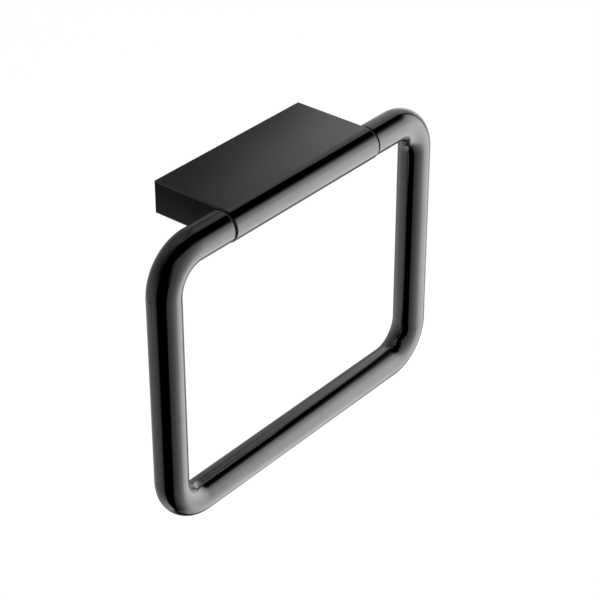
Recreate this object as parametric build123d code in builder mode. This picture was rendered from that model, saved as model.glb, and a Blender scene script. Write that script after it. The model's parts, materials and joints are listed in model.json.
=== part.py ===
import os

from build123d import *

# Towel ring: a rounded-rectangle ring of bent tube swings on the half-round nose of a flat wall bracket.
# Frame: origin in the wall plane at the height of the swing axis, +X right, +Y into the wall, +Z up.

# Ring: with these sizes it is 220 mm wide outside
tube_diameter = 18.0
tube_wall = 1.5
ring_height = 170.0  # outside
ring_stub = 22.0  # straight run between the bracket's side and the bend
bend_radius = 21.0  # at the tube's centre line
tube_end_chamfer = 0.4

# Bracket
bracket_width = 114.0
axis_reach = 46.0  # from the wall to the swing axis
nose_step = 0.4  # the nose stands this far proud of the tube
shell_wall = 2.5  # top, bottom and nose
side_wall = 5.0
bracket_edge_round = 0.8  # along both sides
bracket_back_round = 0.4  # where the bracket meets the wall

# Pivot at each side of the bracket
journal_diameter = 7.0
running_clearance = 0.05  # journal in bush, on the radius
bush_wall = 1.0
bush_fit_gap = 0.03  # bush in bracket, on the radius
bush_end_gap = 0.2  # bush sleeve short of the inner face
flange_thickness = 0.8
flange_setback = 0.6  # flange inside the tube's outline
axial_play = 0.2
washer_thickness = 0.8
washer_bore_gap = 0.3
head_overhang = 1.2  # screw head past the journal
head_thickness = 3.5
pivot_thread_diameter = 5.0
pivot_thread_length = 9.0
pivot_key_size = 3.0  # across the socket's flats
pivot_key_depth = 2.0
head_chamfer = 0.4
thread_chamfer = 0.5
bush_chamfer = 0.3
thread_gap = 0.05  # plain thread cylinder in its hole, on the radius

# Plug brazed into each tube end
thread_run_out = 1.5  # hole past the end of the screw
plug_end_wall = 3.5
plug_chamfer = 0.8
braze_gap = 0.05

# Wall plate and its clamp screw
plate_thickness = 3.5
plate_side_gap = 0.5
plate_height_gap = 0.4  # all of it below, because the clamp screw lifts the plate
plate_corner_round = 1.0
tongue_width = 34.0
tongue_reach = 13.5
wall_hole_diameter = 5.2
wall_sink_diameter = 9.2
wall_sink_angle = 90.0
wall_hole_inset = 11.5  # from the plate's end
clamp_thread_diameter = 5.0
clamp_recess = 0.3  # screw end above the bracket's underside
clamp_seat_depth = 2.6
clamp_seat_gap = 0.3
clamp_key_size = 2.5
clamp_key_depth = 2.2

# Worked-out sizes
tube_radius = tube_diameter / 2
tube_bore_radius = tube_radius - tube_wall
nose_radius = tube_radius + nose_step
cavity_radius = nose_radius - shell_wall
bracket_half = bracket_width / 2
cavity_half = bracket_half - side_wall
tube_end = flange_thickness + axial_play  # from the bracket's side
ring_start = bracket_half + tube_end
ring_half = ring_start + ring_stub + bend_radius
ring_drop = ring_height - tube_diameter
journal_radius = journal_diameter / 2
bush_bore_radius = journal_radius + running_clearance
sleeve_radius = bush_bore_radius + bush_wall
head_radius = journal_radius + head_overhang
pivot_thread_radius = pivot_thread_diameter / 2
head_seat = side_wall + washer_thickness + axial_play  # under the head, inwards from the bracket's side
thread_hole_depth = pivot_thread_length + thread_run_out
plate_half = cavity_half - plate_side_gap
plate_bottom = plate_height_gap - cavity_radius
clamp_reach = plate_thickness + tongue_reach / 2
clamp_radius = clamp_thread_diameter / 2
clamp_seat = plate_bottom + clamp_seat_depth
clamp_foot = clamp_recess - nose_radius

os.makedirs("parts", exist_ok=True)


# Bracket: a hollow block with a half-round nose, open at the back
def nose_profile(radius):
    with BuildSketch(Plane.YZ) as profile:
        with BuildLine():
            top = Line((0, radius), (-axis_reach, radius))
            nose = ThreePointArc(top @ 1, (-axis_reach - radius, 0), (-axis_reach, -radius))
            Polyline(nose @ 1, (0, -radius), top @ 0)
        make_face()
    return profile.sketch


with BuildPart() as bracket_body:
    extrude(nose_profile(nose_radius), amount=bracket_half, both=True)
    side_outlines = faces().filter_by(Axis.X).edges().filter_by(Axis.Z, reverse=True)
    fillet(side_outlines, bracket_edge_round)
    fillet(faces().sort_by(Axis.Y)[-1].edges(), bracket_back_round)
    extrude(nose_profile(cavity_radius), amount=cavity_half, both=True, mode=Mode.SUBTRACT)
    with BuildSketch(Plane.YZ):
        with Locations((-axis_reach, 0)):
            Circle(sleeve_radius + bush_fit_gap)
    extrude(amount=bracket_half, both=True, mode=Mode.SUBTRACT)
    with BuildSketch(Plane.XY.offset(-nose_radius)):
        with Locations((0, -clamp_reach)):
            Circle(clamp_radius + thread_gap)
    extrude(amount=shell_wall, mode=Mode.SUBTRACT)
bracket_body.part.label = "bracket_body"
export_step(bracket_body.part, "parts/bracket_body.step")


# Wall plate: fills the bracket's open back, and its tongue takes the clamp screw
with BuildPart() as wall_plate:
    with BuildSketch(Plane.XZ):
        with Locations((0, (cavity_radius + plate_bottom) / 2)):
            RectangleRounded(2 * plate_half, cavity_radius - plate_bottom, plate_corner_round)
    extrude(amount=plate_thickness)
    with BuildSketch(Plane.XZ.offset(plate_thickness)):
        with Locations((0, (cavity_radius + plate_bottom) / 2)):
            Rectangle(tongue_width, cavity_radius - plate_bottom)
    extrude(amount=tongue_reach)
    with Locations(Plane.XZ.offset(plate_thickness)):
        with GridLocations(2 * (plate_half - wall_hole_inset), 0, 2, 1):
            CounterSinkHole(
                wall_hole_diameter / 2,
                wall_sink_diameter / 2,
                plate_thickness,
                wall_sink_angle,
            )
    with BuildSketch(Plane.XY.offset(plate_bottom)):
        with Locations((0, -clamp_reach)):
            Circle(clamp_radius + clamp_seat_gap)
    extrude(amount=clamp_seat_depth, mode=Mode.SUBTRACT)
wall_plate.part.label = "wall_plate"
export_step(wall_plate.part, "parts/wall_plate.step")


# Clamp screw: socket set screw from below, its flat point on the tongue's seat
with BuildPart() as clamp_screw:
    with BuildSketch(Plane.XY.offset(clamp_foot)):
        with Locations((0, -clamp_reach)):
            Circle(clamp_radius)
    extrude(amount=clamp_seat - clamp_foot)
    chamfer(edges().filter_by(GeomType.CIRCLE), thread_chamfer)
    with BuildSketch(Plane.XY.offset(clamp_foot)):
        with Locations((0, -clamp_reach)):
            RegularPolygon(clamp_key_size / 2, 6, major_radius=False)
    extrude(amount=clamp_key_depth, mode=Mode.SUBTRACT)
clamp_screw.part.label = "clamp_screw"
export_step(clamp_screw.part, "parts/clamp_screw.step")


# Ring: one tube, bent at four corners, that starts and ends beside the bracket
ring_plane = Plane.XZ.offset(axis_reach)
with BuildPart() as ring_tube:
    with BuildLine(ring_plane) as ring_path:
        FilletPolyline(
            (-ring_start, 0),
            (-ring_half, 0),
            (-ring_half, -ring_drop),
            (ring_half, -ring_drop),
            (ring_half, 0),
            (ring_start, 0),
            radius=bend_radius,
        )
    with BuildSketch(Plane(ring_path.line @ 0, z_dir=ring_path.line % 0)):
        Circle(tube_radius)
        Circle(tube_bore_radius, mode=Mode.SUBTRACT)
    sweep(path=ring_path.line)
    end_rims = faces().filter_by(Axis.X).edges().sort_by(SortBy.RADIUS)[-2:]
    chamfer(end_rims, tube_end_chamfer)
ring_tube.part.label = "ring_tube"
export_step(ring_tube.part, "parts/ring_tube.step")


# Pivot pieces at each side, on a plane in the bracket's side that looks out along the swing axis
for side, direction in (("left", -1), ("right", 1)):
    pivot = Plane((direction * bracket_half, -axis_reach, 0), x_dir=(0, 1, 0), z_dir=(direction, 0, 0))
    outwards = Axis(pivot.origin, pivot.z_dir)

    with BuildPart() as bush:
        with BuildSketch(pivot):
            Circle(tube_radius - flange_setback)
        extrude(amount=flange_thickness)
        with BuildSketch(pivot):
            Circle(sleeve_radius)
        extrude(amount=bush_end_gap - side_wall)
        chamfer(edges().filter_by(GeomType.CIRCLE).sort_by(outwards)[0], bush_chamfer)
        with BuildSketch(pivot.offset(flange_thickness)):
            Circle(bush_bore_radius)
        extrude(amount=-flange_thickness - side_wall, mode=Mode.SUBTRACT)
    bush.part.label = f"bush_{side}"
    export_step(bush.part, f"parts/bush_{side}.step")

    with BuildPart() as thrust_washer:
        with BuildSketch(pivot.offset(-side_wall)):
            Circle(head_radius)
            Circle(journal_radius + washer_bore_gap, mode=Mode.SUBTRACT)
        extrude(amount=-washer_thickness)
    thrust_washer.part.label = f"thrust_washer_{side}"
    export_step(thrust_washer.part, f"parts/thrust_washer_{side}.step")

    with BuildPart() as pivot_screw:
        with BuildSketch(pivot.offset(-head_seat)):
            Circle(head_radius)
        extrude(amount=-head_thickness)
        with BuildSketch(pivot.offset(-head_seat)):
            Circle(journal_radius)
        extrude(amount=head_seat + tube_end)
        with BuildSketch(pivot.offset(tube_end)):
            Circle(pivot_thread_radius)
        extrude(amount=pivot_thread_length)
        rims = edges().filter_by(GeomType.CIRCLE).sort_by(outwards)
        chamfer(rims[0], head_chamfer)
        chamfer(rims[-1], thread_chamfer)
        with BuildSketch(pivot.offset(-head_seat - head_thickness)):
            RegularPolygon(pivot_key_size / 2, 6, major_radius=False)
        extrude(amount=pivot_key_depth, mode=Mode.SUBTRACT)
    pivot_screw.part.label = f"pivot_screw_{side}"
    export_step(pivot_screw.part, f"parts/pivot_screw_{side}.step")

    with BuildPart() as ring_plug:
        with BuildSketch(pivot.offset(tube_end)):
            Circle(tube_bore_radius - braze_gap)
        extrude(amount=thread_hole_depth + plug_end_wall)
        chamfer(edges().filter_by(GeomType.CIRCLE).sort_by(outwards)[-1], plug_chamfer)
        with BuildSketch(pivot.offset(tube_end)):
            Circle(pivot_thread_radius + thread_gap)
        extrude(amount=thread_hole_depth, mode=Mode.SUBTRACT)
    ring_plug.part.label = f"ring_plug_{side}"
    export_step(ring_plug.part, f"parts/ring_plug_{side}.step")
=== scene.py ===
import json
import math

import bmesh
import bpy
from mathutils import Matrix, Vector

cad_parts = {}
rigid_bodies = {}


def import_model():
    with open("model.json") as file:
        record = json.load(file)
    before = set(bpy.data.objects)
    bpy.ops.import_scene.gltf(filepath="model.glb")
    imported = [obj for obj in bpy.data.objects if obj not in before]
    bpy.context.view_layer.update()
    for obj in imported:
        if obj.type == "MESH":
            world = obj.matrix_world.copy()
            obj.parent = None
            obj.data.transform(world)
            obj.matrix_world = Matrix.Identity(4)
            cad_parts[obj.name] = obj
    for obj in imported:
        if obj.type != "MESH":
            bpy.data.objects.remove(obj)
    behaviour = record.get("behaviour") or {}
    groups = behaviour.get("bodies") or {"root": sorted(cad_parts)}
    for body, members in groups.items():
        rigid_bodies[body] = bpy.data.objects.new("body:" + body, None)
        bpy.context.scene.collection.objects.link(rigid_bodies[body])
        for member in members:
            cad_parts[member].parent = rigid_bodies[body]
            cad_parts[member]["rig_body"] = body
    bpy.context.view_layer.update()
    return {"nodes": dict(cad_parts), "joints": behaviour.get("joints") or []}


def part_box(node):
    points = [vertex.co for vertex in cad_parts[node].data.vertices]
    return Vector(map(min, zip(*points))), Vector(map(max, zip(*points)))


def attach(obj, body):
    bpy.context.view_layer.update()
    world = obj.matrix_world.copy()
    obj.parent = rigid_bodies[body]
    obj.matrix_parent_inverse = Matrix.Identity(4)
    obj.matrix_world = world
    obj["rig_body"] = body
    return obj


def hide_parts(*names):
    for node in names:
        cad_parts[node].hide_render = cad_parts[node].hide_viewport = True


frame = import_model()

mm = 0.001
tiny = 0.01 * mm  # what lies closer counts as the same place
wholeTurn = 2 * math.pi
edgeAngle = math.radians(40)  # faces that fold more than this meet at an edge


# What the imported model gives: the swing axis and the main sizes
axisReach = frame["joints"][0]["pos_m"][1]
bracketHalf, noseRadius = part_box("bracket_body")[1].x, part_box("bracket_body")[1].z
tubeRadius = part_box("ring_tube")[1].z
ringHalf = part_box("ring_tube")[1].x - tubeRadius
ringDrop = -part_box("ring_tube")[0].z - tubeRadius
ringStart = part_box("ring_plug_right")[0].x
clampReach = (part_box("clamp_screw")[0].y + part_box("clamp_screw")[1].y) / 2
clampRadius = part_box("clamp_screw")[1].x


# Small helpers for node trees, meshes and objects

def addNode(tree, kind, inputs=None, **settings):
    made = tree.nodes.new(kind)
    for name, value in settings.items():
        setattr(made, name, value)
    for key, value in (inputs or {}).items():
        if isinstance(value, bpy.types.NodeSocket):
            tree.links.new(value, made.inputs[key])
        else:
            made.inputs[key].default_value = value
    return made


def calc(tree, operation, first, second=0.0):
    return addNode(tree, "ShaderNodeMath", {0: first, 1: second}, operation=operation).outputs[0]


def newTree(name, kind, inputs, outputs):
    tree = bpy.data.node_groups.new(name, kind)
    for socketName, socketKind in inputs:
        tree.interface.new_socket(name=socketName, in_out="INPUT", socket_type="NodeSocket" + socketKind)
    for socketName, socketKind in outputs:
        tree.interface.new_socket(name=socketName, in_out="OUTPUT", socket_type="NodeSocket" + socketKind)
    return tree, tree.nodes.new("NodeGroupInput").outputs, tree.nodes.new("NodeGroupOutput").inputs


def endTree(tree, geometry, finish, sink):
    real = addNode(tree, "GeometryNodeRealizeInstances", {"Geometry": geometry})
    dressed = addNode(tree, "GeometryNodeSetMaterial", {"Geometry": real.outputs[0], "Material": finish})
    tree.links.new(dressed.outputs[0], sink)


def hold(data, name="holder"):
    holder = bpy.data.objects.new(name, data)
    bpy.context.scene.collection.objects.link(holder)
    return holder


def builtMesh(build, name):
    mesh = bpy.data.meshes.new(name)
    build.to_mesh(mesh)
    build.free()
    return mesh


def plainMesh(holder, name):
    graph = bpy.context.evaluated_depsgraph_get()
    mesh = bpy.data.meshes.new_from_object(holder.evaluated_get(graph), depsgraph=graph)
    mesh.name = name
    bpy.data.objects.remove(holder)
    return mesh


def addNodesModifier(holder, tree, values):
    modifier = holder.modifiers.new(tree.name, "NODES")
    modifier.node_group = tree
    for item in tree.interface.items_tree:
        if item.in_out == "INPUT" and item.name in values:
            modifier[item.identifier] = values[item.name]


def addBevel(holder, width, steps, method="ANGLE", angle=edgeAngle):
    bevel = holder.modifiers.new("edges", "BEVEL")
    bevel.width, bevel.segments, bevel.limit_method = width, steps, method
    bevel.angle_limit = angle
    bevel.use_clamp_overlap = False
    bevel.harden_normals = True


def settle(mesh, name, nodes, finish):
    mesh.materials.clear()
    mesh.materials.append(finish)
    piece = hold(mesh, name)
    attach(piece, frame["nodes"][nodes[0]]["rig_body"])
    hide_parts(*nodes)
    print("piece", name, "with", len(mesh.polygons), "faces stands for", ", ".join(nodes))


# Finishes: one group for the small unevenness that every surface has, one for lathe marks

driftSetup = {
    "patchDetail": 3,
    "grainDetail": 2,
    "patchShare": 0.7,  # of the roughness, and the grain makes the rest
    "noiseLow": 0.3,  # most of the noise lies between these two
    "noiseHigh": 0.7,
}


def surfaceDriftGroup():
    tree, source, sink = newTree(
        "surfaceDrift", "ShaderNodeTree",
        [("Patch Scale", "Float"), ("Grain Scale", "Float"),
         ("Low Roughness", "Float"), ("High Roughness", "Float")],
        [("Roughness", "Float"), ("Tone", "Float"), ("Height", "Float")])
    place = addNode(tree, "ShaderNodeTexCoord").outputs["Object"]

    def noise(scale, detail):
        return addNode(tree, "ShaderNodeTexNoise", {
            "Vector": place, "Scale": scale, "Detail": detail}).outputs["Fac"]

    def stretched(level, ends):
        return addNode(tree, "ShaderNodeMapRange", {
            "Value": level, "From Min": driftSetup["noiseLow"], "From Max": driftSetup["noiseHigh"],
            **ends}).outputs["Result"]

    patches = noise(source["Patch Scale"], driftSetup["patchDetail"])
    grain = noise(source["Grain Scale"], driftSetup["grainDetail"])
    mixed = calc(tree, "ADD", calc(tree, "MULTIPLY", patches, driftSetup["patchShare"]),
                 calc(tree, "MULTIPLY", grain, 1 - driftSetup["patchShare"]))
    roughness = stretched(mixed, {"To Min": source["Low Roughness"], "To Max": source["High Roughness"]})
    tree.links.new(roughness, sink["Roughness"])
    tree.links.new(stretched(patches, {}), sink["Tone"])
    tree.links.new(grain, sink["Height"])
    return tree


latheSetup = {"distortion": 1.5, "detail": 2}


def latheMarksGroup():
    tree, source, sink = newTree(
        "latheMarks", "ShaderNodeTree", [("Mark Scale", "Float")], [("Height", "Float")])
    place = addNode(tree, "ShaderNodeTexCoord").outputs["Object"]
    marks = addNode(tree, "ShaderNodeTexWave", {
        "Vector": place, "Scale": source["Mark Scale"], "Distortion": latheSetup["distortion"],
        "Detail": latheSetup["detail"]}, bands_direction="X")
    tree.links.new(marks.outputs["Fac"], sink["Height"])
    return tree


surfaceDrift = surfaceDriftGroup()
latheMarks = latheMarksGroup()


def makeFinish(name, look):
    finish = bpy.data.materials.new(name)
    finish.use_nodes = True
    tree = finish.node_tree
    shader = tree.nodes["Principled BSDF"]
    drift = addNode(tree, "ShaderNodeGroup", node_tree=surfaceDrift)
    for socketName in ("Patch Scale", "Grain Scale", "Low Roughness", "High Roughness"):
        key = socketName[0].lower() + socketName[1:].replace(" ", "")
        drift.inputs[socketName].default_value = look[key]
    colour = addNode(tree, "ShaderNodeMix", {
        "Factor": drift.outputs["Tone"], "A": (*look["dark"], 1), "B": (*look["light"], 1)}, data_type="RGBA")
    height = drift.outputs["Height"]
    if "markScale" in look:
        marks = addNode(tree, "ShaderNodeGroup", node_tree=latheMarks)
        marks.inputs["Mark Scale"].default_value = look["markScale"]
        height = marks.outputs["Height"]
    bump = addNode(tree, "ShaderNodeBump", {
        "Strength": look["bump"], "Distance": look["bumpDepth"], "Height": height})
    shader.inputs["Metallic"].default_value = look["metallic"]
    tree.links.new(colour.outputs["Result"], shader.inputs["Base Color"])
    tree.links.new(drift.outputs["Roughness"], shader.inputs["Roughness"])
    tree.links.new(bump.outputs["Normal"], shader.inputs["Normal"])
    return finish


blackChrome = makeFinish("blackChrome", {
    "dark": (0.345, 0.345, 0.35), "light": (0.375, 0.375, 0.38), "metallic": 1,
    "patchScale": 40, "grainScale": 900, "lowRoughness": 0.07, "highRoughness": 0.1,
    "bump": 0.05, "bumpDepth": 0.01 * mm})
castZinc = makeFinish("castZinc", {
    "dark": (0.42, 0.42, 0.43), "light": (0.55, 0.55, 0.56), "metallic": 0.55,
    "patchScale": 90, "grainScale": 2600, "lowRoughness": 0.38, "highRoughness": 0.52,
    "bump": 0.5, "bumpDepth": 0.05 * mm})
blackenedSteel = makeFinish("blackenedSteel", {
    "dark": (0.07, 0.07, 0.075), "light": (0.13, 0.13, 0.135), "metallic": 1,
    "patchScale": 260, "grainScale": 3000, "lowRoughness": 0.28, "highRoughness": 0.42,
    "bump": 0.25, "bumpDepth": 0.02 * mm})
turnedBrass = makeFinish("turnedBrass", {
    "dark": (0.62, 0.43, 0.16), "light": (0.76, 0.57, 0.26), "metallic": 1,
    "patchScale": 150, "grainScale": 2000, "lowRoughness": 0.2, "highRoughness": 0.32,
    "markScale": 700, "bump": 0.3, "bumpDepth": 0.02 * mm})
blackAcetal = makeFinish("blackAcetal", {
    "dark": (0.018, 0.018, 0.019), "light": (0.028, 0.028, 0.029), "metallic": 0,
    "patchScale": 200, "grainScale": 3500, "lowRoughness": 0.38, "highRoughness": 0.5,
    "bump": 0.3, "bumpDepth": 0.02 * mm})
print("finishes made:", len(bpy.data.materials))


# Ring: a tube swept along its path, with a turned-in rim and a bore

ringShape = {
    "bendRadius": 21 * mm,  # at the tube's centre line
    "wall": 1.5 * mm,
    "rimRound": 0.4 * mm,
    "rimAngle": math.radians(60),  # only the rims fold more than this
    "rimSteps": 4,
    "bendSteps": 48,
    "roundSteps": 96,
}


def bentTubeTree():
    tree, source, sink = newTree(
        "bentTube", "GeometryNodeTree",
        [("Path", "Geometry"), ("Bend Radius", "Float"), ("Tube Radius", "Float"), ("Wall", "Float"),
         ("Axis Reach", "Float"), ("Bend Steps", "Int"), ("Round Steps", "Int"), ("Finish", "Material")],
        [("Tube", "Geometry")])
    path = addNode(tree, "GeometryNodeMeshToCurve", {"Mesh": source["Path"]})
    bent = addNode(tree, "GeometryNodeFilletCurve", {
        "Curve": path.outputs["Curve"], "Radius": source["Bend Radius"], "Count": source["Bend Steps"]},
        mode="POLY")

    def sweep(radius):
        section = addNode(tree, "GeometryNodeCurvePrimitiveCircle", {
            "Resolution": source["Round Steps"], "Radius": radius})
        return addNode(tree, "GeometryNodeCurveToMesh", {
            "Curve": bent.outputs["Curve"], "Profile Curve": section.outputs["Curve"]}).outputs["Mesh"]

    # both ends lie across the swing axis, so the rim turns straight in towards it
    here = addNode(tree, "ShaderNodeSeparateXYZ", {0: addNode(tree, "GeometryNodeInputPosition").outputs[0]})
    inwards = addNode(tree, "ShaderNodeCombineXYZ", {
        "Y": calc(tree, "SUBTRACT", source["Axis Reach"], here.outputs["Y"]),
        "Z": calc(tree, "MULTIPLY", here.outputs["Z"], -1)})
    direction = addNode(tree, "ShaderNodeVectorMath", {0: inwards.outputs[0]}, operation="NORMALIZE")
    # an edge at an end has one face, and inputs 2 and 3 of Compare take whole numbers
    around = addNode(tree, "GeometryNodeInputMeshEdgeNeighbors").outputs["Face Count"]
    openEdge = addNode(tree, "FunctionNodeCompare", {2: around, 3: 1}, data_type="INT", operation="EQUAL")
    rimmed = addNode(tree, "GeometryNodeExtrudeMesh", {
        "Mesh": sweep(source["Tube Radius"]), "Selection": openEdge.outputs["Result"],
        "Offset": direction.outputs[0], "Offset Scale": source["Wall"]}, mode="EDGES")
    bore = addNode(tree, "GeometryNodeFlipFaces", {
        "Mesh": sweep(calc(tree, "SUBTRACT", source["Tube Radius"], source["Wall"]))})
    joined = addNode(tree, "GeometryNodeJoinGeometry", {"Geometry": rimmed.outputs["Mesh"]})
    tree.links.new(bore.outputs["Mesh"], joined.inputs["Geometry"])
    closed = addNode(tree, "GeometryNodeMergeByDistance", {"Geometry": joined.outputs[0], "Distance": tiny})
    smooth = addNode(tree, "GeometryNodeSetShadeSmooth", {"Geometry": closed.outputs[0]})
    endTree(tree, smooth.outputs[0], source["Finish"], sink["Tube"])
    return tree


def makeRingTube():
    corners = [(-ringStart, 0), (-ringHalf, 0), (-ringHalf, -ringDrop),
               (ringHalf, -ringDrop), (ringHalf, 0), (ringStart, 0)]
    path = bpy.data.meshes.new("ringPath")
    path.from_pydata(
        [(x, axisReach, z) for x, z in corners], [(i, i + 1) for i in range(len(corners) - 1)], [])
    holder = hold(path)
    addNodesModifier(holder, bentTubeTree(), {
        "Bend Radius": ringShape["bendRadius"], "Tube Radius": tubeRadius, "Wall": ringShape["wall"],
        "Axis Reach": axisReach, "Bend Steps": ringShape["bendSteps"], "Round Steps": ringShape["roundSteps"],
        "Finish": blackChrome})
    addBevel(holder, ringShape["rimRound"], ringShape["rimSteps"], angle=ringShape["rimAngle"])
    settle(plainMesh(holder, "ringTube"), "ringTube", ["ring_tube"], blackChrome)


makeRingTube()


# Turned shapes: an outline is spun round

turnedSteps = 60
cornerSteps = 4
sharpAngle = math.radians(35)
hexSides = 6  # of a key socket


def roundedOutline(corners, closed):
    # a corner is a radius and a height, then its round if it has one, then its sides if it isn't circular
    points = []
    for i, (radius, height, *more) in enumerate(corners):
        cornerRound, sides = (*more, 0, 0)[:2]
        here = Vector((radius, height))
        if not cornerRound:
            points.append((here, sides))
            continue
        before = (Vector(corners[i - 1][:2]) - here).normalized()
        after = (Vector(corners[(i + 1) % len(corners)][:2]) - here).normalized()
        half = before.angle(after) / 2
        centre = here + (before + after).normalized() * cornerRound / math.sin(half)
        start = here + before * cornerRound / math.tan(half) - centre
        sweep = math.copysign(math.pi - 2 * half, before.cross(after))
        for k in range(cornerSteps + 1):
            points.append((centre + Matrix.Rotation(-sweep * k / cornerSteps, 2) @ start, sides))
    return points + points[:1] if closed else points


def spunMesh(name, corners, closed=False):
    build = bmesh.new()
    rings = []
    for (radius, height), sides in roundedOutline(corners, closed):
        if radius < tiny:
            rings.append([build.verts.new((0, 0, height))])
            continue
        ring = []
        for k in range(turnedSteps):
            angle, reach = wholeTurn * k / turnedSteps, radius
            if sides:
                wedge = wholeTurn / sides
                reach = radius / math.cos(angle % wedge - wedge / 2)
            ring.append(build.verts.new((reach * math.cos(angle), reach * math.sin(angle), height)))
        rings.append(ring)
    if closed:
        for vert in rings[-1]:
            build.verts.remove(vert)
        rings[-1] = rings[0]
    for lower, upper in zip(rings, rings[1:]):
        for k in range(turnedSteps):
            after = (k + 1) % turnedSteps
            corner = [lower[k % len(lower)], lower[after % len(lower)],
                      upper[after % len(upper)], upper[k % len(upper)]]
            build.faces.new(list(dict.fromkeys(corner)))
    bmesh.ops.recalc_face_normals(build, faces=build.faces)
    mesh = builtMesh(build, name)
    mesh.shade_smooth()
    mesh.set_sharp_from_angle(angle=sharpAngle)
    return mesh


# Cut shapes: a flat outline is raised to a block, and holes are cut in it

drillSteps = 48


def raiseOutline(build, outline, way):
    base = build.faces.new([build.verts.new(place) for place in outline])
    grown = bmesh.ops.extrude_face_region(build, geom=[base])["geom"]
    raised = [part for part in grown if isinstance(part, bmesh.types.BMVert)]
    bmesh.ops.translate(build, verts=raised, vec=way)


def drill(radius, length, centre, turn):
    build = bmesh.new()
    bmesh.ops.create_cone(
        build, cap_ends=True, segments=drillSteps, radius1=radius, radius2=radius, depth=length,
        matrix=Matrix.Translation(centre) @ turn)
    return builtMesh(build, "drill")


def cutAway(mesh, cutters, name):
    holder = hold(mesh)
    holders = [hold(cutter) for cutter in cutters]
    for cutter in holders:
        cut = holder.modifiers.new("cut", "BOOLEAN")
        cut.operation, cut.object, cut.solver = "DIFFERENCE", cutter, "EXACT"
    result = plainMesh(holder, name)
    for cutter in holders:
        bpy.data.objects.remove(cutter)
    return result


# Bracket: a hollow block with a half-round nose, open at the back, with softened edges

bracketShape = {
    "shellWall": 2.5 * mm,
    "sideWall": 5 * mm,
    "bushHole": 4.58 * mm,  # radius
    "clampGap": 0.05 * mm,  # round the clamp screw
    "sideRound": 0.8 * mm,
    "backRound": 0.4 * mm,
    "innerRound": 0.3 * mm,
    "edgeSteps": 5,
    "noseSteps": 72,
}


def nosePrism(radius, half, back):
    steps = bracketShape["noseSteps"]
    outline = [(-half, back, radius)]
    for i in range(steps + 1):
        turn = math.pi * i / steps
        outline.append((-half, axisReach - radius * math.sin(turn), radius * math.cos(turn)))
    outline.append((-half, back, -radius))
    build = bmesh.new()
    raiseOutline(build, outline, (2 * half, 0, 0))
    bmesh.ops.recalc_face_normals(build, faces=build.faces)
    return builtMesh(build, "nosePrism")


def markBracketEdges(mesh):
    build = bmesh.new()
    build.from_mesh(mesh)
    weight = build.edges.layers.float.new("bevel_weight_edge")
    holeZone = noseRadius - 2 * bracketShape["sideRound"]
    for edge in build.edges:
        if len(edge.link_faces) != 2 or edge.calc_face_angle() < edgeAngle:
            continue
        ends = [vert.co for vert in edge.verts]
        onSide = all(abs(abs(end.x) - bracketHalf) < tiny for end in ends)
        onBack = all(abs(end.y) < tiny for end in ends)
        outside = all(
            abs(abs(end.z) - noseRadius) < tiny or abs(abs(end.x) - bracketHalf) < tiny for end in ends)
        inHole = all(math.hypot(end.y - axisReach, end.z) < holeZone for end in ends)
        edgeRound = bracketShape["innerRound"]
        if onSide and not onBack and not inHole:
            edgeRound = bracketShape["sideRound"]
        elif onBack and outside:
            edgeRound = bracketShape["backRound"]
        edge[weight] = edgeRound / bracketShape["sideRound"]
    build.to_mesh(mesh)
    build.free()


def makeBracket():
    cavityRadius = noseRadius - bracketShape["shellWall"]
    cavityHalf = bracketHalf - bracketShape["sideWall"]
    along = Matrix.Rotation(math.pi / 2, 4, "Y")
    # the cutters stand well out of the back, both sides and the underside
    shell = cutAway(nosePrism(noseRadius, bracketHalf, 0), [
        nosePrism(cavityRadius, cavityHalf, noseRadius),
        drill(bracketShape["bushHole"], 3 * bracketHalf, (0, axisReach, 0), along),
        drill(clampRadius + bracketShape["clampGap"], noseRadius, (0, clampReach, -noseRadius), Matrix()),
    ], "bracketShell")
    markBracketEdges(shell)
    shell.shade_smooth()
    holder = hold(shell)
    addBevel(holder, bracketShape["sideRound"], bracketShape["edgeSteps"], method="WEIGHT")
    settle(plainMesh(holder, "bracketBody"), "bracketBody", ["bracket_body"], blackChrome)


makeBracket()


# Wall plate: a bar that fills the bracket's open back, with a tongue for the clamp screw

wallPlateShape = {
    "thickness": 3.5 * mm,
    "cornerRound": 1 * mm,
    "cornerSteps": 6,
    "tongueHalf": 17 * mm,
    "holeApart": 80 * mm,
    "holeRadius": 2.6 * mm,
    "sinkRadius": 4.6 * mm,
    "seatRadius": 2.8 * mm,
    "seatDepth": 2.6 * mm,
    "edgeRound": 0.25 * mm,
    "edgeSteps": 2,
    "cutSpare": 0.5 * mm,  # the holes' cutters stand this far out of both faces
}


def plateBlank(low, high):
    front, tongue = high.y - wallPlateShape["thickness"], wallPlateShape["tongueHalf"]
    outline = [(low.x, high.y), (low.x, front), (-tongue, front), (-tongue, low.y),
               (tongue, low.y), (tongue, front), (high.x, front), (high.x, high.y)]
    build = bmesh.new()
    raiseOutline(build, [(x, y, low.z) for x, y in outline], (0, 0, high.z - low.z))
    ends = [edge for edge in build.edges
            if all(abs(abs(vert.co.x) - high.x) < tiny for vert in edge.verts)
            and abs(edge.verts[0].co.z - edge.verts[1].co.z) < tiny]
    bmesh.ops.bevel(
        build, geom=ends, offset=wallPlateShape["cornerRound"], segments=wallPlateShape["cornerSteps"],
        profile=0.5, affect="EDGES")
    bmesh.ops.recalc_face_normals(build, faces=build.faces)
    return builtMesh(build, "plateBlank")


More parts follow.
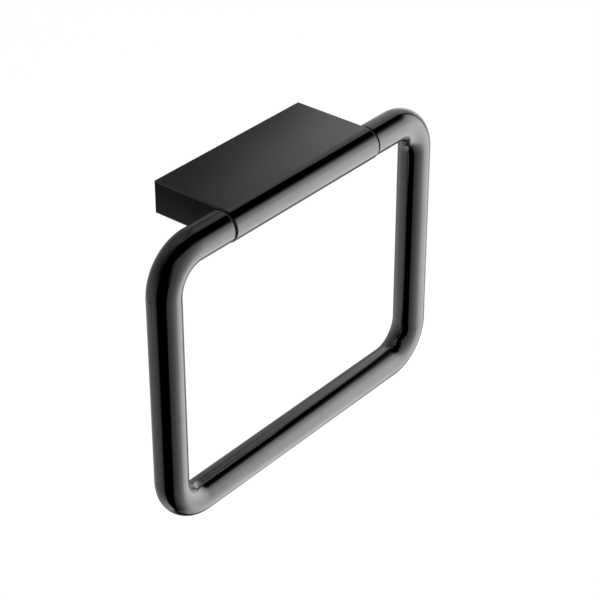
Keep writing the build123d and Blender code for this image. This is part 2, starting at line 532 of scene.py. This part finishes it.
def makeWallPlate():
    low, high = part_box("wall_plate")
    front, spare = high.y - wallPlateShape["thickness"], wallPlateShape["cutSpare"]
    hole, sink = wallPlateShape["holeRadius"], wallPlateShape["sinkRadius"]
    cutters = []
    for x in (-wallPlateShape["holeApart"] / 2, wallPlateShape["holeApart"] / 2):
        cutter = spunMesh("screwHole", [
            (0, front - spare), (sink + spare, front - spare), (hole, front + sink - hole),
            (hole, high.y + spare), (0, high.y + spare)])
        cutter.transform(Matrix.Translation((x, 0, 0)) @ Matrix.Rotation(-math.pi / 2, 4, "X"))
        cutters.append(cutter)
    depth = 2 * wallPlateShape["seatDepth"]  # half of it stands out of the underside
    cutters.append(drill(wallPlateShape["seatRadius"], depth, (0, clampReach, low.z), Matrix()))
    shell = cutAway(plateBlank(low, high), cutters, "plateShell")
    shell.shade_smooth()
    holder = hold(shell)
    addBevel(holder, wallPlateShape["edgeRound"], wallPlateShape["edgeSteps"])
    settle(plainMesh(holder, "wallPlate"), "wallPlate", ["wall_plate"], castZinc)


makeWallPlate()


# Turned pieces at the pivot, and the clamp screw

threadRings = 8  # in each pitch of a blank
threadShare = 0.99  # of the thread's radius: only what lies farther out is cut


def threadRun(radius, start, end, pitch):
    count = round((end - start) / pitch * threadRings)
    return [(radius, start + (end - start) * k / count) for k in range(count + 1)]


def rolledThreadTree():
    tree, source, sink = newTree(
        "rolledThread", "GeometryNodeTree",
        [("Blank", "Geometry"), ("Outer Radius", "Float"), ("Start", "Float"), ("End", "Float"),
         ("Pitch", "Float"), ("Depth", "Float"), ("Finish", "Material")],
        [("Screw", "Geometry")])
    position = addNode(tree, "GeometryNodeInputPosition").outputs[0]
    place = addNode(tree, "ShaderNodeSeparateXYZ", {0: position}).outputs
    flat = addNode(tree, "ShaderNodeCombineXYZ", {"X": place["X"], "Y": place["Y"]}).outputs[0]
    radius = addNode(tree, "ShaderNodeVectorMath", {0: flat}, operation="LENGTH").outputs["Value"]
    turn = calc(tree, "DIVIDE", calc(tree, "ARCTAN2", place["Y"], place["X"]), wholeTurn)
    fromStart = calc(tree, "DIVIDE", calc(tree, "SUBTRACT", place["Z"], source["Start"]), source["Pitch"])
    toEnd = calc(tree, "DIVIDE", calc(tree, "SUBTRACT", source["End"], place["Z"]), source["Pitch"])
    phase = calc(tree, "FRACT", calc(tree, "SUBTRACT", fromStart, turn))
    crest = calc(tree, "ABSOLUTE", calc(tree, "SUBTRACT", calc(tree, "MULTIPLY", phase, 2), 1))
    groove = calc(tree, "MULTIPLY", calc(tree, "SUBTRACT", 1, crest), source["Depth"])
    fade = addNode(tree, "ShaderNodeClamp", {"Value": calc(tree, "MINIMUM", fromStart, toEnd)}).outputs[0]
    shrink = calc(tree, "DIVIDE", calc(tree, "MULTIPLY", groove, fade), radius)
    inwards = addNode(tree, "ShaderNodeVectorMath", {
        0: flat, "Scale": calc(tree, "MULTIPLY", shrink, -1)}, operation="SCALE")
    limit = calc(tree, "MULTIPLY", source["Outer Radius"], threadShare)
    cut = addNode(tree, "GeometryNodeSetPosition", {
        "Geometry": source["Blank"], "Selection": calc(tree, "GREATER_THAN", radius, limit),
        "Offset": inwards.outputs["Vector"]})
    endTree(tree, cut.outputs[0], source["Finish"], sink["Screw"])
    return tree


def turnedAboutTree():
    tree, source, sink = newTree(
        "turnedAbout", "GeometryNodeTree",
        [("Piece", "Geometry"), ("Pivot", "Vector"), ("Count", "Int"), ("Finish", "Material")],
        [("Pieces", "Geometry")])
    points = addNode(tree, "GeometryNodePoints", {"Count": source["Count"], "Position": source["Pivot"]})
    share = calc(tree, "DIVIDE", addNode(tree, "GeometryNodeInputIndex").outputs[0], source["Count"])
    turn = addNode(tree, "ShaderNodeCombineXYZ", {"Z": calc(tree, "MULTIPLY", share, wholeTurn)})
    placed = addNode(tree, "GeometryNodeInstanceOnPoints", {
        "Points": points.outputs[0], "Instance": source["Piece"], "Rotation": turn.outputs[0]})
    endTree(tree, placed.outputs[0], source["Finish"], sink["Pieces"])
    return tree


rolledThread = rolledThreadTree()
turnedAbout = turnedAboutTree()


def makePair(name, mesh, nodeName, finish):
    # the outline's height runs along the swing axis, to the right
    mesh.transform(Matrix(((0, 0, 1, 0), (1, 0, 0, 0), (0, 1, 0, 0), (0, 0, 0, 1))))
    nodes = [nodeName + "_right", nodeName + "_left"]
    holder = hold(mesh)
    addNodesModifier(holder, turnedAbout, {"Pivot": (0, axisReach, 0), "Count": len(nodes), "Finish": finish})
    settle(plainMesh(holder, name), name, nodes, finish)


def cutThread(mesh, name, radius, start, end, shape):
    holder = hold(mesh)
    addNodesModifier(holder, rolledThread, {
        "Outer Radius": radius, "Start": start, "End": end, "Pitch": shape["pitch"],
        "Depth": shape["threadDepth"], "Finish": blackenedSteel})
    return plainMesh(holder, name)


bushShape = {"bore": 3.55 * mm, "sleeve": 4.55 * mm, "edge": 0.2 * mm}


def makeBushes():
    low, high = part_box("bush_right")
    bore, sleeve, edge = bushShape["bore"], bushShape["sleeve"], bushShape["edge"]
    bush = spunMesh("bush", [
        (bore, low.x, edge), (sleeve, low.x, edge), (sleeve, bracketHalf), (high.z, bracketHalf, edge),
        (high.z, high.x, edge), (bore, high.x, edge)], closed=True)
    makePair("pivotBushes", bush, "bush", blackAcetal)


washerShape = {"bore": 3.8 * mm, "edge": 0.12 * mm}


def makeWashers():
    low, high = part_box("thrust_washer_right")
    bore, edge = washerShape["bore"], washerShape["edge"]
    washer = spunMesh("washer", [
        (bore, low.x, edge), (high.z, low.x, edge), (high.z, high.x, edge), (bore, high.x, edge)],
        closed=True)
    makePair("thrustWashers", washer, "thrust_washer", blackAcetal)


pivotScrewShape = {
    "headThickness": 3.5 * mm,
    "headChamfer": 0.4 * mm,
    "journal": 3.5 * mm,
    "thread": 2.5 * mm,
    "pitch": 0.8 * mm,
    "threadDepth": 0.42 * mm,
    "threadChamfer": 0.5 * mm,
    "keyHalf": 1.5 * mm,
    "keyDepth": 2 * mm,
    "edge": 0.12 * mm,
}


def makePivotScrews():
    low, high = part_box("pivot_screw_right")
    shape, head, edge = pivotScrewShape, high.z, pivotScrewShape["edge"]
    key, keyEnd = shape["keyHalf"], low.x + shape["keyDepth"]
    thread, threadEnd = shape["thread"], high.x - shape["threadChamfer"]
    journal, seat = shape["journal"], low.x + shape["headThickness"]
    blank = spunMesh("pivotScrew", [
        (0, keyEnd), (key, keyEnd, 0, hexSides), (key, low.x, 0, hexSides),
        (head - shape["headChamfer"], low.x, edge), (head, low.x + shape["headChamfer"], edge),
        (head, seat, edge), (journal, seat), (journal, ringStart, edge),
        *threadRun(thread, ringStart, threadEnd, shape["pitch"]),
        (thread - shape["threadChamfer"], high.x), (0, high.x)])
    screw = cutThread(blank, "pivotScrew", thread, ringStart, threadEnd, shape)
    makePair("pivotScrews", screw, "pivot_screw", blackenedSteel)


plugShape = {"hole": 2.55 * mm, "holeDepth": 10.5 * mm, "chamfer": 0.8 * mm, "edge": 0.15 * mm}


def makePlugs():
    low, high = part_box("ring_plug_right")
    hole, bottom = plugShape["hole"], low.x + plugShape["holeDepth"]
    chamfer, edge = plugShape["chamfer"], plugShape["edge"]
    plug = spunMesh("plug", [
        (0, bottom), (hole, bottom), (hole, low.x, edge), (high.z, low.x, edge),
        (high.z, high.x - chamfer, edge), (high.z - chamfer, high.x, edge), (0, high.x)])
    makePair("ringPlugs", plug, "ring_plug", turnedBrass)


clampScrewShape = {
    "chamfer": 0.5 * mm,
    "pitch": 0.8 * mm,
    "threadDepth": 0.42 * mm,
    "keyHalf": 1.25 * mm,
    "keyDepth": 2.2 * mm,
}


def makeClampScrew():
    low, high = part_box("clamp_screw")
    shape, chamfer = clampScrewShape, clampScrewShape["chamfer"]
    key, keyEnd = shape["keyHalf"], low.z + shape["keyDepth"]
    start, end = low.z + chamfer, high.z - chamfer
    blank = spunMesh("clampScrew", [
        (0, keyEnd), (key, keyEnd, 0, hexSides), (key, low.z, 0, hexSides),
        (clampRadius - chamfer, low.z), *threadRun(clampRadius, start, end, shape["pitch"]),
        (clampRadius - chamfer, high.z), (0, high.z)])
    screw = cutThread(blank, "clampScrew", clampRadius, start, end, shape)
    screw.transform(Matrix.Translation((0, clampReach, 0)))
    settle(screw, "clampScrew", ["clamp_screw"], blackenedSteel)


makeBushes()
makeWashers()
makePivotScrews()
makePlugs()
makeClampScrew()


# Stage: a pale floor, one soft lamp, and a light tent that the metal reflects

stageSetup = {
    "floorLevel": -0.75,
    "floorSize": 100,
    "floorColour": (0.98, 0.98, 0.98),
    "lampPlace": (0.9, -0.9, 1.3),
    "lampSize": 1.2,
    "lampPower": 4,
    "tentRadius": 0.6,
    "tentCentre": (0, -0.05, -0.07),
    "tentFineness": 5,
}

# Soft boxes: brightness by degrees round the tent (front 0, right 90), times that by degrees of height
softBoxes = {
    "key": {
        "lean": 10,  # degrees to the right
        "around": [(-40, 0), (-36, 0.075), (-28, 0.085), (-10, 0.135), (5, 0.22), (20, 0.34), (32, 0.55),
                   (38, 0.75), (50, 0.9), (72, 1.1), (80, 1.05), (88, 0.3), (92, 0)],
        "height": [(-80, 0.2), (-62, 0.85), (-50, 1.07), (-40, 1.05), (-30, 1.02), (-10, 1.1), (10, 1.05),
                   (25, 0.7), (35, 0.48), (45, 0.05), (50, 0)],
    },
    "backRight": {
        "around": [(91, 0), (96, 0.85), (104, 0.9), (113, 0.95), (123, 0.9), (135, 0.45), (143, 0.25),
                   (150, 0.12), (165, 0)],
        "height": [(-15, 0), (0, 0.1), (8, 0.25), (18, 0.42), (28, 0.34), (33, 0.335), (36, 0.3), (40, 0.22),
                   (45, 0.19), (55, 0.14), (65, 0.09)],
    },
    "backLow": {
        "around": [(-180, 1.7), (-172, 1.4), (-160, 1.1), (-130, 0.85), (-115, 0.68), (-103, 0.5),
                   (-97, 0.22), (-92, 0), (106, 0), (118, 0.8), (130, 1.1), (150, 1.3), (170, 1.6),
                   (180, 1.7)],
        "height": [(-74, 0.02), (-62, 0.12), (-52, 0.15), (-45, 0.22), (-33, 0.2), (-22, 0.18), (-8, 0.15),
                   (2, 0.13), (10, 0.1), (18, 0.06), (26, 0.015), (36, 0)],
    },
    "leftRim": {
        "around": [(-178, 0), (-168, 0.9), (-150, 1), (-105, 1), (-98, 0)],
        "height": [(-77, 0), (-72, 0.45), (-66, 0.36), (-58, 0.22), (-50, 0.08), (-42, 0)],
    },
    "backHigh": {
        "around": [(-180, 0.9), (-165, 1), (-150, 0.85), (-135, 0.6), (-120, 0.3), (-105, 0.08), (-98, 0),
                   (141, 0), (148, 0.7), (165, 0.85), (180, 0.9)],
        "height": [(8, 0), (18, 0.05), (28, 0.08), (65, 0.085)],
    },
    "rightLow": {
        "around": [(80, 0), (88, 0.85), (94, 1), (104, 1), (112, 0.6), (118, 0)],
        "height": [(-72, 0.5), (-62, 0.85), (-56, 0.8), (-51, 0.48), (-46, 0.34), (-38, 0.34), (-25, 0.25),
                   (-14, 0.1), (-6, 0)],
    },
    "rightRim": {
        "around": [(90, 0), (95, 0.9), (112, 1), (120, 0.5), (126, 0)],
        "height": [(-33, 0), (-26, 0.45), (-14, 0.7), (2, 0.68), (8, 0.5), (12, 0.2), (16, 0)],
    },
    "rightBack": {
        "around": [(108, 0), (116, 1), (129, 1), (132, 0)],
        "height": [(-9, 0), (-3, 0.3), (9, 0.3), (14, 0.12), (20, 0)],
    },
    "overKey": {
        "around": [(-49, 0), (-45, 0.8), (-36, 1), (10, 1), (24, 0.5), (32, 0)],
        "height": [(8, 0), (16, 0.02), (30, 0.04), (38, 0.07), (44, 0.065), (50, 0)],
    },
}

# Dark cards: given in the same way, each takes its share of the light away
darkCards = {
    "left": {
        "lean": -40,
        "around": [(-134.4, 0), (-132.6, 1), (-125, 0.97), (-123.4, 0)],
        "height": [(7.2, 0), (8.4, 0.68), (9.6, 0.79), (11.2, 0.95), (12.6, 1), (13.6, 0)],
    },
    "backRight": {
        "lean": 30,
        "around": [(142, 0), (148, 0.6), (152, 1.25), (158, 1.05), (168, 1), (174, 0)],
        "height": [(46.8, 0), (48.6, 0.48), (49.8, 0.48), (51.4, 0.3), (53.4, 0)],
    },
}
rampSpan = {"around": 360, "height": 180}  # degrees
rampMiddle = 0.5  # stands for no degrees


def levelRamp(tree, angle, card, way):
    share = calc(tree, "ADD", calc(tree, "DIVIDE", angle, math.radians(rampSpan[way])), rampMiddle)
    ramp = addNode(tree, "ShaderNodeValToRGB", {"Fac": share})
    stops = ramp.color_ramp.elements
    ready = len(stops)
    for i, (degrees, level) in enumerate(card[way]):
        position = degrees / rampSpan[way] + rampMiddle
        stop = stops[i] if i < ready else stops.new(position)
        stop.position = position
        stop.color = (level, level, level, 1)
    return ramp.outputs["Color"]


def tentLight():
    light = bpy.data.materials.new("tentLight")
    light.use_nodes = True
    tree = light.node_tree
    tree.nodes.clear()
    place = addNode(tree, "ShaderNodeTexCoord").outputs["Object"]

    def cardLevel(card):
        lean = math.radians(card.get("lean", 0))
        leant = addNode(tree, "ShaderNodeVectorRotate", {
            "Vector": place, "Angle": -lean}, rotation_type="Y_AXIS").outputs[0]
        towards = addNode(tree, "ShaderNodeVectorMath", {0: leant}, operation="NORMALIZE").outputs[0]
        parts = addNode(tree, "ShaderNodeSeparateXYZ", {0: towards}).outputs
        around = calc(tree, "ARCTAN2", parts["X"], calc(tree, "MULTIPLY", parts["Y"], -1))
        height = calc(tree, "ARCSINE", parts["Z"])
        return calc(tree, "MULTIPLY", levelRamp(tree, around, card, "around"),
                    levelRamp(tree, height, card, "height"))

    total = 0.0
    for box in softBoxes.values():
        total = calc(tree, "ADD", cardLevel(box), total)
    for card in darkCards.values():
        total = calc(tree, "MULTIPLY", total, calc(tree, "SUBTRACT", 1, cardLevel(card)))
    glow = addNode(tree, "ShaderNodeEmission", {"Strength": total})
    addNode(tree, "ShaderNodeOutputMaterial", {"Surface": glow.outputs[0]})
    return light


def makeTent():
    build = bmesh.new()
    bmesh.ops.create_icosphere(
        build, subdivisions=stageSetup["tentFineness"], radius=stageSetup["tentRadius"])
    mesh = builtMesh(build, "lightTent")
    mesh.materials.append(tentLight())
    tent = hold(mesh, "lightTent")
    tent.location = stageSetup["tentCentre"]
    tent.visible_camera = tent.visible_diffuse = tent.visible_shadow = False


def makeFloor():
    half, level = stageSetup["floorSize"] / 2, stageSetup["floorLevel"]
    mesh = bpy.data.meshes.new("floor")
    mesh.from_pydata([(-half, -half, level), (half, -half, level), (half, half, level), (-half, half, level)],
                     [], [(0, 1, 2, 3)])
    paint = bpy.data.materials.new("floorPaint")
    paint.use_nodes = True
    shader = paint.node_tree.nodes["Principled BSDF"]
    shader.inputs["Base Color"].default_value = (*stageSetup["floorColour"], 1)
    shader.inputs["Roughness"].default_value = 1
    shader.inputs["Specular IOR Level"].default_value = 0
    mesh.materials.append(paint)
    hold(mesh, "floor")


def makeLights():
    lamp = bpy.data.lights.new("softLamp", "AREA")
    lamp.shape, lamp.size, lamp.energy = "DISK", stageSetup["lampSize"], stageSetup["lampPower"]
    holder = hold(lamp, "softLamp")
    holder.location = stageSetup["lampPlace"]
    holder.rotation_euler = (-Vector(stageSetup["lampPlace"])).to_track_quat("-Z", "Y").to_euler()
    holder.visible_glossy = False  # the tent is what the metal shows
    world = bpy.data.worlds.new("studio")
    bpy.context.scene.world = world
    world.use_nodes = True
    world.node_tree.nodes["Background"].inputs["Color"].default_value = (1, 1, 1, 1)


cameraSetup = {
    "place": (-0.6934, -0.6192, 0.497),
    "turn": 50.52,  # degrees to the right of straight ahead
    "lookDown": 32.26,  # degrees
    "lens": 120.5,  # mm
    "sensor": 36,  # mm
}


def makeCamera():
    lens = bpy.data.cameras.new("camera")
    lens.lens, lens.sensor_width = cameraSetup["lens"], cameraSetup["sensor"]
    camera = hold(lens, "camera")
    camera.location = cameraSetup["place"]
    camera.rotation_euler = (
        math.radians(90 - cameraSetup["lookDown"]), 0, -math.radians(cameraSetup["turn"]))
    bpy.context.scene.camera = camera


makeTent()
makeFloor()
makeLights()
makeCamera()
bpy.context.scene.view_settings.view_transform = "Standard"
print("stage set")
